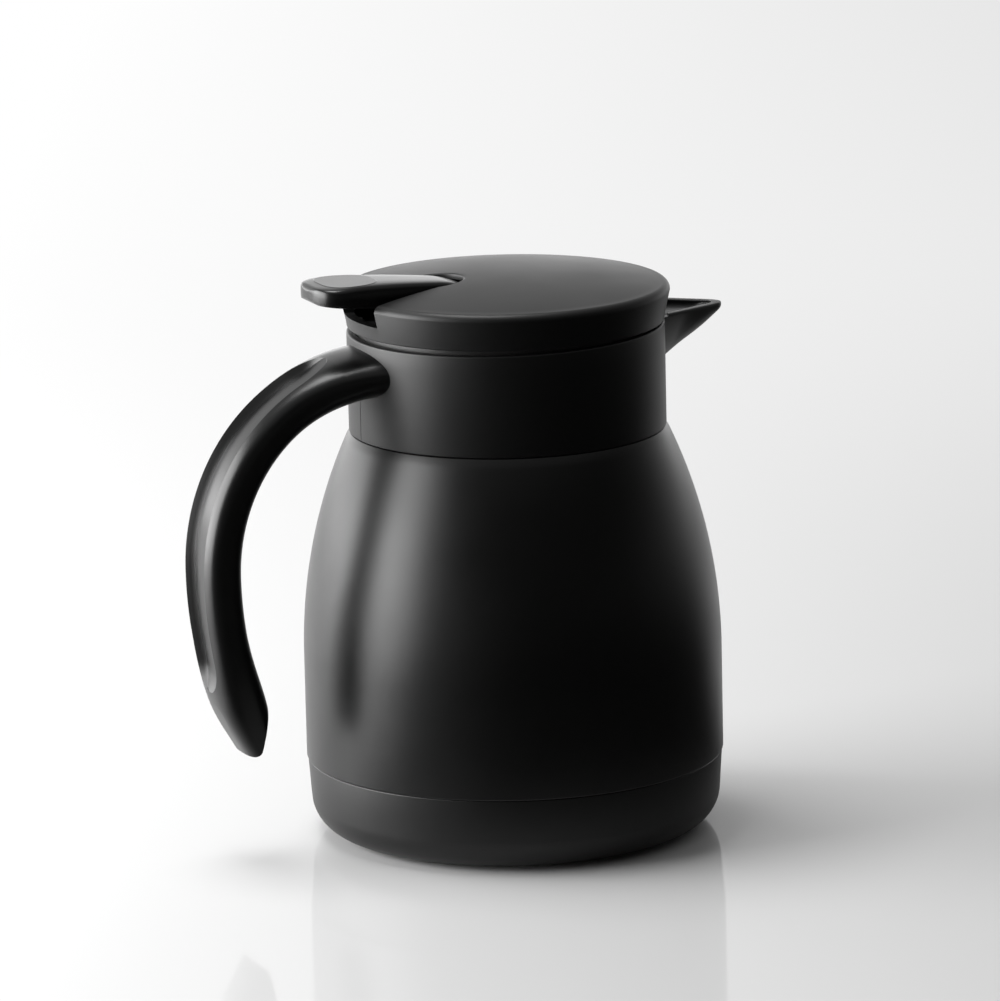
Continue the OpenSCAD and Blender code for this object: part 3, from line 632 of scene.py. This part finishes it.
def slot_tool():
    """Tool that cuts the slot down to the notch's floor."""
    rings = [[(x, y, NOTCH_Z) for x, y in slot_outline(0)]]
    for wider, above in SLOT_FLARE:
        rings.append([(x, y, LID_Z1 + dome(min(math.hypot(x, y), LID_TOP_R)) + above)
                      for x, y in slot_outline(wider)])
    rings.append([(x, y, LID_Z1 + SLOT_TOOL_H) for x, y in slot_outline(SLOT_FLARE[-1][0])])
    return loft("slot_tool", rings)


# Lever: x is counted from the axis towards the handle; its section is in shares of half width and height
THUMB_X = 60.4
THUMB_HALF_W = 11.6
THUMB_ROUND = 9.8
THUMB_EDGE = 1.6
THUMB_CURVE = (2.4, 0.45)
CREST = (48.3, 163.95)
CREST_BEND = 0.0137
FACET_Z = 163.62
FACET_RIM = (0.3, 0.12)
ON_PLANE = 1e-6
NOSE_FALL = (0.9, 7)
UNDER_Z = 153.8
UNDER_RISE = 0.11
LEVER_HALF = [(0, 1), (0.35, 0.998), (0.6, 0.988), (0.77, 0.968), (0.88, 0.925), (0.95, 0.83), (0.985, 0.68),
              (1, 0.45), (0.985, 0.17), (0.95, 0.05), (0.89, 0), (0, 0)]
HUB_R = 4
HUB_HALF = 4.5
POCKET_END = 6.45
POCKET_R = 3.6
WEB_INSET = 0.4
WEB_INTO_TOP = 1.5
FORK_Y = 3.4
FORK_Z = 150.8
FORK_HALF = 1
FORK_R = 1.2


def smooth_loop(points, per_span):
    """A closed curve through points, rounded between them."""
    out = []
    n = len(points)
    for i in range(n):
        p0, p1, p2, p3 = (Vector(points[(i + k - 1) % n]) for k in range(4))
        for k in range(per_span):
            t = k / per_span
            out.append(0.5 * (2 * p1 + (p2 - p0) * t + (2 * p0 - 5 * p1 + 4 * p2 - p3) * t * t
                              + (3 * p1 - p0 - 3 * p2 + p3) * t ** 3))
    return out


def lever_half(x):
    """Half width of the lever: a round nose, widening sides and a round thumb end."""
    if x < NOSE_CENTRE:
        return math.sqrt(max(0.05, NOSE_R ** 2 - (NOSE_CENTRE - x) ** 2))
    slope = (THUMB_HALF_W - NOSE_R) / (THUMB_X - THUMB_ROUND - NOSE_CENTRE)
    end = max(0, (x - THUMB_X + THUMB_ROUND) / THUMB_ROUND)
    curve, power = THUMB_CURVE
    return (NOSE_R + slope * (x - NOSE_CENTRE)) * max(0.0006, 1 - end ** curve) ** power


def edge_drop(x):
    """How far the rounding of the thumb end takes the top down, and the underside up."""
    q = min(1, max(0, (x - THUMB_X + THUMB_EDGE) / THUMB_EDGE))
    return THUMB_EDGE * (1 - math.sqrt(1 - q * q))


def lever_top(x):
    """Height of the top's middle line, which bends down from its crest and falls at the nose."""
    fall, reach = NOSE_FALL
    nose = max(0, 1 - (x - NOSE_X) / reach)
    return CREST[1] - CREST_BEND * abs(CREST[0] - x) ** 1.5 - edge_drop(x) - fall * nose * nose


def lever_under(x):
    """Height of the underside."""
    return UNDER_Z + UNDER_RISE * (x - NOSE_X) + edge_drop(x)


def lever_ring(x):
    """Section of the lever at x."""
    h, z0 = lever_half(x), lever_under(x)
    t = lever_top(x) - z0
    return [(-x, u * h, z0 + v * t) for u, v in smooth_loop(mirrored(LEVER_HALF), 4)]


def raise_facet(obj):
    """Planes the lever's crest off and raises the flat inside a narrow rim, as the thumb's facet."""
    bm = bmesh.new()
    bm.from_mesh(obj.data)
    anchor, normal = Vector((0, 0, FACET_Z)) * MM, Vector((0, 0, 1))
    bmesh.ops.bisect_plane(bm, geom=bm.verts[:] + bm.edges[:] + bm.faces[:], dist=ON_PLANE, plane_co=anchor,
                           plane_no=normal)
    above = [v for v in bm.verts if (v.co - anchor).dot(normal) > ON_PLANE]
    bmesh.ops.delete(bm, geom=above, context="VERTS")
    filled = bmesh.ops.holes_fill(bm, edges=[e for e in bm.edges if e.is_boundary])["faces"]
    width, rise = FACET_RIM
    bmesh.ops.inset_region(bm, faces=filled, thickness=width * MM, depth=rise * MM, use_even_offset=True)
    obj.data.clear_geometry()
    bm.to_mesh(obj.data)
    bm.free()


def crisp_flat(obj):
    """Keeps the outline of the largest face of a mesh, and of the band round it, crisp."""
    bm = bmesh.new()
    bm.from_mesh(obj.data)
    flat = max(bm.faces, key=lambda f: f.calc_area())
    for e in flat.edges:
        e.smooth = False
        for face in e.link_faces:
            if face is not flat:
                for side in face.edges:
                    if not set(side.verts) & set(flat.verts):
                        side.smooth = False
    bm.to_mesh(obj.data)
    bm.free()
    return obj


def make_lever():
    """Thumb lever with pockets for the frame's ears, a hub on the pin and a fork below the valve's cap."""
    half_span = (THUMB_X - NOSE_X) / 2
    places = [NOSE_X + half_span * (1 - math.cos(a)) for a in even(0, math.pi, 80)]
    top = loft("thumb_lever_top", [lever_ring(x) for x in places])
    raise_facet(top)
    for side in (-1, 1):
        start, end = (-PIN_X, side * HUB_HALF, PIN_Z), (-PIN_X, side * POCKET_END, PIN_Z)
        cut(top, rod("pocket", POCKET_R, start, end))
    web_r, web_z = HUB_R - WEB_INSET, lever_under(PIN_X) + WEB_INTO_TOP
    parts = [top, rod("hub", HUB_R, (-PIN_X, -HUB_HALF, PIN_Z), (-PIN_X, HUB_HALF, PIN_Z)),
             slab("web", (-PIN_X - web_r, -HUB_HALF, PIN_Z), (-PIN_X + web_r, HUB_HALF, web_z))]
    for y in (-FORK_Y, FORK_Y):
        parts.append(rod("pad", FORK_R, (0, y - FORK_HALF, FORK_Z), (0, y + FORK_HALF, FORK_Z)))
        parts.append(slab("arm", (-PIN_X, y - FORK_HALF, FORK_Z - FORK_HALF),
                          (0, y + FORK_HALF, FORK_Z + FORK_HALF)))
    return crisp_flat(join(parts, "thumb_lever_press"))


# Materials
TONE_SPAN = (0.3, 0.72)
BROAD_SCALE = 35.0
LINE_SCALE = 900.0
LINE_GLOSS = (-0.08, 0.1)


def shader(name):
    """A new material with its node tree and its main shader."""
    mat = bpy.data.materials.new(name)
    mat.use_nodes = True
    tree = mat.node_tree
    return mat, tree, tree.nodes["Principled BSDF"]


def add(tree, kind, **values):
    """Adds a node and sets its sockets or its properties by name."""
    node = tree.nodes.new(kind)
    for key, value in values.items():
        if key in node.inputs:
            node.inputs[key].default_value = value
        else:
            setattr(node, key, value)
    return node


def coat(name, dark, light, rough, grain, depth, spread=0.06):
    """Coating or plastic with fine grain: two tones, uneven gloss and a fine bump."""
    mat, tree, bsdf = shader(name)
    coords = add(tree, "ShaderNodeTexCoord")
    fine = add(tree, "ShaderNodeTexNoise", Scale=grain, Detail=4.0, Roughness=0.6)
    broad = add(tree, "ShaderNodeTexNoise", Scale=BROAD_SCALE, Detail=2.0, Roughness=0.5)
    tone = add(tree, "ShaderNodeValToRGB")
    for element, position, colour in zip(tone.color_ramp.elements, TONE_SPAN, (dark, light)):
        element.position = position
        element.color = (*colour, 1)
    gloss = add(tree, "ShaderNodeMapRange")
    gloss.inputs["To Min"].default_value = rough - spread
    gloss.inputs["To Max"].default_value = rough + spread
    bump = add(tree, "ShaderNodeBump", Strength=0.5, Distance=depth)
    link = tree.links.new
    for noise in (fine, broad):
        link(coords.outputs["Object"], noise.inputs["Vector"])
    link(fine.outputs["Fac"], tone.inputs["Fac"])
    link(tone.outputs["Color"], bsdf.inputs["Base Color"])
    link(broad.outputs["Fac"], gloss.inputs["Value"])
    link(gloss.outputs["Result"], bsdf.inputs["Roughness"])
    link(fine.outputs["Fac"], bump.inputs["Height"])
    link(bump.outputs["Normal"], bsdf.inputs["Normal"])
    return mat


def metal(name, colour, rough, stretch=(1, 1, 1)):
    """Bare metal with fine lines along its drawing direction."""
    mat, tree, bsdf = shader(name)
    coords = add(tree, "ShaderNodeTexCoord")
    scale = add(tree, "ShaderNodeMapping")
    scale.inputs["Scale"].default_value = stretch
    noise = add(tree, "ShaderNodeTexNoise", Scale=LINE_SCALE, Detail=3.0)
    gloss = add(tree, "ShaderNodeMapRange")
    gloss.inputs["To Min"].default_value = rough + LINE_GLOSS[0]
    gloss.inputs["To Max"].default_value = rough + LINE_GLOSS[1]
    bump = add(tree, "ShaderNodeBump", Strength=0.25, Distance=0.00001)
    link = tree.links.new
    link(coords.outputs["Object"], scale.inputs["Vector"])
    link(scale.outputs["Vector"], noise.inputs["Vector"])
    link(noise.outputs["Fac"], gloss.inputs["Value"])
    link(gloss.outputs["Result"], bsdf.inputs["Roughness"])
    link(noise.outputs["Fac"], bump.inputs["Height"])
    link(bump.outputs["Normal"], bsdf.inputs["Normal"])
    bsdf.inputs["Base Color"].default_value = (*colour, 1)
    bsdf.inputs["Metallic"].default_value = 1
    return mat


def grey(v):
    """A grey of one value."""
    return (v, v, v)


MATS = {
    "black_steel": coat("powder_coat", grey(0.001), grey(0.002), 0.36, 2600, 0.00002),
    "black_base": coat("base_plastic", grey(0.001), grey(0.002), 0.42, 2200, 0.00002),
    "black_plastic": coat("matte_plastic", grey(0.001), grey(0.002), 0.46, 2800, 0.00002),
    "gloss_black": coat("satin_plastic", grey(0.002), grey(0.004), 0.3, 3500, 0.00001, spread=0.04),
    "foot_rubber": coat("foot_rubber", grey(0.02), grey(0.03), 0.75, 1800, 0.00005),
    "silicone": coat("silicone", (0.5, 0.49, 0.46), (0.6, 0.59, 0.56), 0.45, 600, 0.00002),
    "stopper_plastic": coat("stopper_plastic", grey(0.02), grey(0.03), 0.4, 2000, 0.00002),
    "natural_plastic": coat("natural_plastic", (0.55, 0.54, 0.5), (0.64, 0.63, 0.6), 0.4, 900, 0.00002),
    "foam": coat("foam", (0.7, 0.67, 0.58), (0.8, 0.77, 0.68), 0.9, 1200, 0.0002),
    "steel": metal("satin_steel", (0.62, 0.61, 0.59), 0.28, (1, 1, 8)),
    "getter_metal": metal("getter_metal", (0.3, 0.3, 0.31), 0.5),
    "screw_steel": metal("plated_steel", (0.6, 0.6, 0.6), 0.22),
    "pin_steel": metal("drawn_steel", (0.55, 0.55, 0.55), 0.25, (1, 6, 1)),
    "spring_steel": metal("spring_wire", (0.5, 0.5, 0.5), 0.3),
}
INNER_CRISP = 30


def dress(obj, slot):
    """Gives an object the material of a slot."""
    obj.data.materials.clear()
    obj.data.materials.append(MATS[slot])


def place(obj, body, slot, *nodes):
    """Gives a piece its material, its body and the CAD nodes that it stands for."""
    dress(obj, slot)
    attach(obj, body)
    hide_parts(*nodes)


for part in frame["record"]["subparts"]:
    solid = frame["nodes"][part["node"]]
    dress(solid, part["material_slot"])
    smooth_shade(solid.data, INNER_CRISP)

place(make_shell(), "vessel", "black_steel", "outer_shell")
place(make_base(), "vessel", "black_base", "base_cap")
place(make_foot(), "vessel", "foot_rubber", "foot_ring")
place(make_collar(), "vessel", "black_plastic", "neck_collar")
place(make_handle(), "vessel", "gloss_black", "handle")
place(make_lid(), "lid", "black_plastic", "lid_cover")
place(make_lever(), "lever", "gloss_black", "thumb_lever")


# Camera: the photo's viewpoint, measured in the object's own frame, with its turn about the object
VIEW_AZIMUTH = math.radians(22)
CAMERA_REACH = 1.9261
CAMERA_HEIGHT = 0.52926
CAMERA_PITCH = math.radians(12.70)
CAMERA_YAW = math.radians(-0.081)
CAMERA_ROLL = math.radians(-1.323)
FOCAL_PIXELS = 6892.43
FRAME_HEIGHT_PIXELS = 1001
SENSOR_MM = 36


def make_camera():
    """Camera at the photo's viewpoint."""
    forward = Vector((math.sin(CAMERA_YAW) * math.cos(CAMERA_PITCH),
                      math.cos(CAMERA_YAW) * math.cos(CAMERA_PITCH), -math.sin(CAMERA_PITCH)))
    right = Vector((math.cos(CAMERA_YAW), -math.sin(CAMERA_YAW), 0))
    up = right.cross(forward)
    c, s = math.cos(CAMERA_ROLL), math.sin(CAMERA_ROLL)
    right, up = right * c + up * s, up * c - right * s
    turn = Matrix.Rotation(-VIEW_AZIMUTH, 3, "Z")
    axes = [turn @ v for v in (right, up, -forward)]
    pose = Matrix([[axes[j][i] for j in range(3)] for i in range(3)]).to_4x4()
    pose.translation = turn @ Vector((0, -CAMERA_REACH, CAMERA_HEIGHT))
    data = bpy.data.cameras.new("camera")
    data.sensor_width = SENSOR_MM
    data.lens = FOCAL_PIXELS / FRAME_HEIGHT_PIXELS * SENSOR_MM
    data.clip_start, data.clip_end = 0.01, 50
    camera = bpy.data.objects.new("camera", data)
    camera.matrix_world = pose
    bpy.context.scene.collection.objects.link(camera)
    bpy.context.scene.camera = camera


def photo_dir(right, away, up=0):
    """A point given as seen in the photo (right, away from the camera, up), in the object's frame."""
    return Matrix.Rotation(-VIEW_AZIMUTH, 3, "Z") @ Vector((right, away, up))


def softbox(name, spot, aim, width, height, radiance):
    """A soft lamp of an even radiance, placed and aimed as seen in the photo."""
    data = bpy.data.lights.new(name, "AREA")
    data.shape = "RECTANGLE"
    data.size = width
    data.size_y = height
    data.energy = radiance * math.pi * width * height
    light = bpy.data.objects.new(name, data)
    light.location = photo_dir(*spot)
    light.rotation_mode = "QUATERNION"
    light.rotation_quaternion = (photo_dir(*aim) - photo_dir(*spot)).to_track_quat("-Z", "Y")
    bpy.context.scene.collection.objects.link(light)


def ramp(tree, stops):
    """A colour ramp of greys given as (position, value)."""
    node = tree.nodes.new("ShaderNodeValToRGB")
    elements = node.color_ramp.elements
    while len(elements) < len(stops):
        elements.new(0.5)
    for element, (position, value) in zip(elements, stops):
        element.position = position
        element.color = (*grey(value), 1)
    return node


def photo_axes(tree, vector):
    """Right and away parts of a vector, as seen in the photo."""
    parts = []
    for axis in (photo_dir(1, 0), photo_dir(0, 1)):
        dot = add(tree, "ShaderNodeVectorMath", operation="DOT_PRODUCT")
        dot.inputs[1].default_value = axis
        tree.links.new(vector, dot.inputs[0])
        parts.append(dot.outputs["Value"])
    return parts


def maths(tree, operation, a, b, clamp=False):
    """One sum on two sockets or numbers."""
    node = add(tree, "ShaderNodeMath", operation=operation, use_clamp=clamp)
    for socket, value in zip(node.inputs, (a, b)):
        if isinstance(value, (int, float)):
            socket.default_value = value
        else:
            tree.links.new(value, socket)
    return node.outputs[0]


def fade(tree, value, span, low=0, high=1):
    """A smooth change from low to high while a value goes through a span."""
    node = add(tree, "ShaderNodeMapRange", interpolation_type="SMOOTHSTEP")
    node.inputs["From Min"].default_value, node.inputs["From Max"].default_value = span
    node.inputs["To Min"].default_value, node.inputs["To Max"].default_value = low, high
    tree.links.new(value, node.inputs["Value"])
    return node.outputs["Result"]


def mixed(tree, factor, first, second):
    """The second shader over the first, by a factor."""
    node = tree.nodes.new("ShaderNodeMixShader")
    for socket, value in zip(node.inputs, (factor, first, second)):
        tree.links.new(value, socket)
    return node.outputs["Shader"]


# Floor: its grey falls to the right as painted shade; what is mirrored of it turns dark with the distance
# from the object, in front and to the right, as a painted dark reflection; far behind, it glows evenly, with
# painted shade darker to the right. Distances are in metres.
FLOOR_R = 3
FLOOR_DROP = 0.0001
FLOOR_GREY = 0.73
FLOOR_SHADE_SLOPE = -0.73
FLOOR_NEAR = (0.05, 0.12)
FRONT_SLANT = 0.6
FRONT_SOFT = 0.1
FRONT_SHIFT = 0.8
PAINTED_REFLECTION_GREY = 0.02
FLOOR_FAR = (0.12, 0.95)
BACKDROP_LEVEL = 0.91
BACKDROP_SHADE_SLOPE = -0.42


def make_floor():
    """Pale glossy floor. Black pieces mirror the part of it before them and to the right as dark, as in the
    photo."""
    bm = bmesh.new()
    bmesh.ops.create_circle(bm, cap_ends=True, radius=FLOOR_R, segments=96)
    floor = finish_mesh(bm, "floor")
    floor.location.z = -FLOOR_DROP
    mat, tree, bsdf = shader("floor_white")
    bsdf.inputs["Roughness"].default_value = 0.06
    bsdf.inputs["Specular IOR Level"].default_value = 0.15
    link = tree.links.new
    coords = add(tree, "ShaderNodeTexCoord")
    path = tree.nodes.new("ShaderNodeLightPath")
    right, away = photo_axes(tree, coords.outputs["Object"])
    # Painted shade: the floor's grey falls towards the right.
    link(maths(tree, "ADD", maths(tree, "MULTIPLY", right, FLOOR_SHADE_SLOPE), FLOOR_GREY, clamp=True),
         bsdf.inputs["Base Color"])

    # Painted dark reflection: beyond a short distance, in front of the object and to its right, glossy rays
    # see a near-black floor.
    length = add(tree, "ShaderNodeVectorMath", operation="LENGTH")
    link(coords.outputs["Object"], length.inputs[0])
    near, far = FLOOR_NEAR
    distance = maths(tree, "SUBTRACT", length.outputs["Value"], near)
    distance = maths(tree, "DIVIDE", distance, far - near, clamp=True)
    front = maths(tree, "SUBTRACT", maths(tree, "MULTIPLY", right, FRONT_SLANT), away)
    front = maths(tree, "ADD", maths(tree, "DIVIDE", front, FRONT_SOFT), FRONT_SHIFT, clamp=True)
    dark = maths(tree, "MULTIPLY", maths(tree, "MULTIPLY", distance, front), path.outputs["Is Glossy Ray"])
    black = add(tree, "ShaderNodeBsdfDiffuse", Color=(*grey(PAINTED_REFLECTION_GREY), 1))
    surface = mixed(tree, dark, bsdf.outputs["BSDF"], black.outputs["BSDF"])

    # Painted shade: the far backdrop's glow is darker towards the right.
    pale = add(tree, "ShaderNodeEmission")
    tone = maths(tree, "MULTIPLY", right, BACKDROP_SHADE_SLOPE)
    link(maths(tree, "ADD", tone, BACKDROP_LEVEL, clamp=True), pale.inputs["Strength"])
    seen = maths(tree, "MAXIMUM", path.outputs["Is Camera Ray"], path.outputs["Is Glossy Ray"])
    seen = maths(tree, "MAXIMUM", seen, path.outputs["Is Transmission Ray"])
    behind = maths(tree, "MULTIPLY", seen, fade(tree, away, FLOOR_FAR))
    surface = mixed(tree, behind, surface, pale.outputs["Emission"])
    link(surface, tree.nodes["Material Output"].inputs["Surface"])
    floor.data.materials.append(mat)


# Light from the room round the object: degrees from straight behind it, negative to the left, and radiance.
# Heights in it are sines: it gains its glow towards the horizon and gives way to the ceiling's radiance.
ROOM = [(-180, 0.02), (-135, 0.03), (-120, 0.4), (-75, 1.7), (-61, 2), (-42, 1.1), (-25, 0.9), (0, 0.8),
        (20, 0.6), (36, 0.42), (53, 0.22), (74, 0.08), (106, 0.03), (180, 0.02)]
HORIZON = (0.05, 0.3)
HORIZON_GLOW = 2.3
CEILING = 0.25
CEILING_RISE = (0.5, 0.75)
WHITE_ROOM = (0.93, 0.935, 0.94, 1)


def make_world():
    """Room that lights the object from the directions that the photo's reflections show."""
    world = bpy.data.worlds.new("studio")
    bpy.context.scene.world = world
    world.use_nodes = True
    tree = world.node_tree
    tree.nodes.clear()
    link = tree.links.new
    coords = add(tree, "ShaderNodeTexCoord")
    right, away = photo_axes(tree, coords.outputs["Generated"])
    split = tree.nodes.new("ShaderNodeSeparateXYZ")
    link(coords.outputs["Generated"], split.inputs["Vector"])
    height = split.outputs["Z"]
    turn = maths(tree, "DIVIDE", maths(tree, "ARCTAN2", right, away), TURN)
    most = max(value for _, value in ROOM)
    room = ramp(tree, [((degrees + 180) / 360, value / most) for degrees, value in ROOM])
    link(maths(tree, "ADD", turn, 0.5), room.inputs["Fac"])
    glow = maths(tree, "ADD", fade(tree, height, HORIZON, HORIZON_GLOW * most, 0), most)
    blend = add(tree, "ShaderNodeMix", data_type="FLOAT")
    link(fade(tree, height, CEILING_RISE), blend.inputs["Factor"])
    link(maths(tree, "MULTIPLY", room.outputs["Color"], glow), blend.inputs["A"])
    blend.inputs["B"].default_value = CEILING
    lit = add(tree, "ShaderNodeBackground", Color=(1, 1, 1, 1))
    link(blend.outputs["Result"], lit.inputs["Strength"])
    seen = add(tree, "ShaderNodeBackground", Color=WHITE_ROOM, Strength=1.0)
    path = tree.nodes.new("ShaderNodeLightPath")
    camera_ray = path.outputs["Is Camera Ray"]
    surface = mixed(tree, camera_ray, lit.outputs["Background"], seen.outputs["Background"])
    link(surface, tree.nodes.new("ShaderNodeOutputWorld").inputs["Surface"])


make_camera()
make_floor()
make_world()
softbox("left_box", spot=(-1.19, -0.15, 0.46), aim=(0, -0.02, 0.46), width=1.1, height=0.9, radiance=7.6)
softbox("top_box", spot=(-0.25, 0.12, 1.3), aim=(0, 0, 0.1), width=0.55, height=0.5, radiance=9.5)

bpy.context.scene.view_settings.view_transform = "Standard"
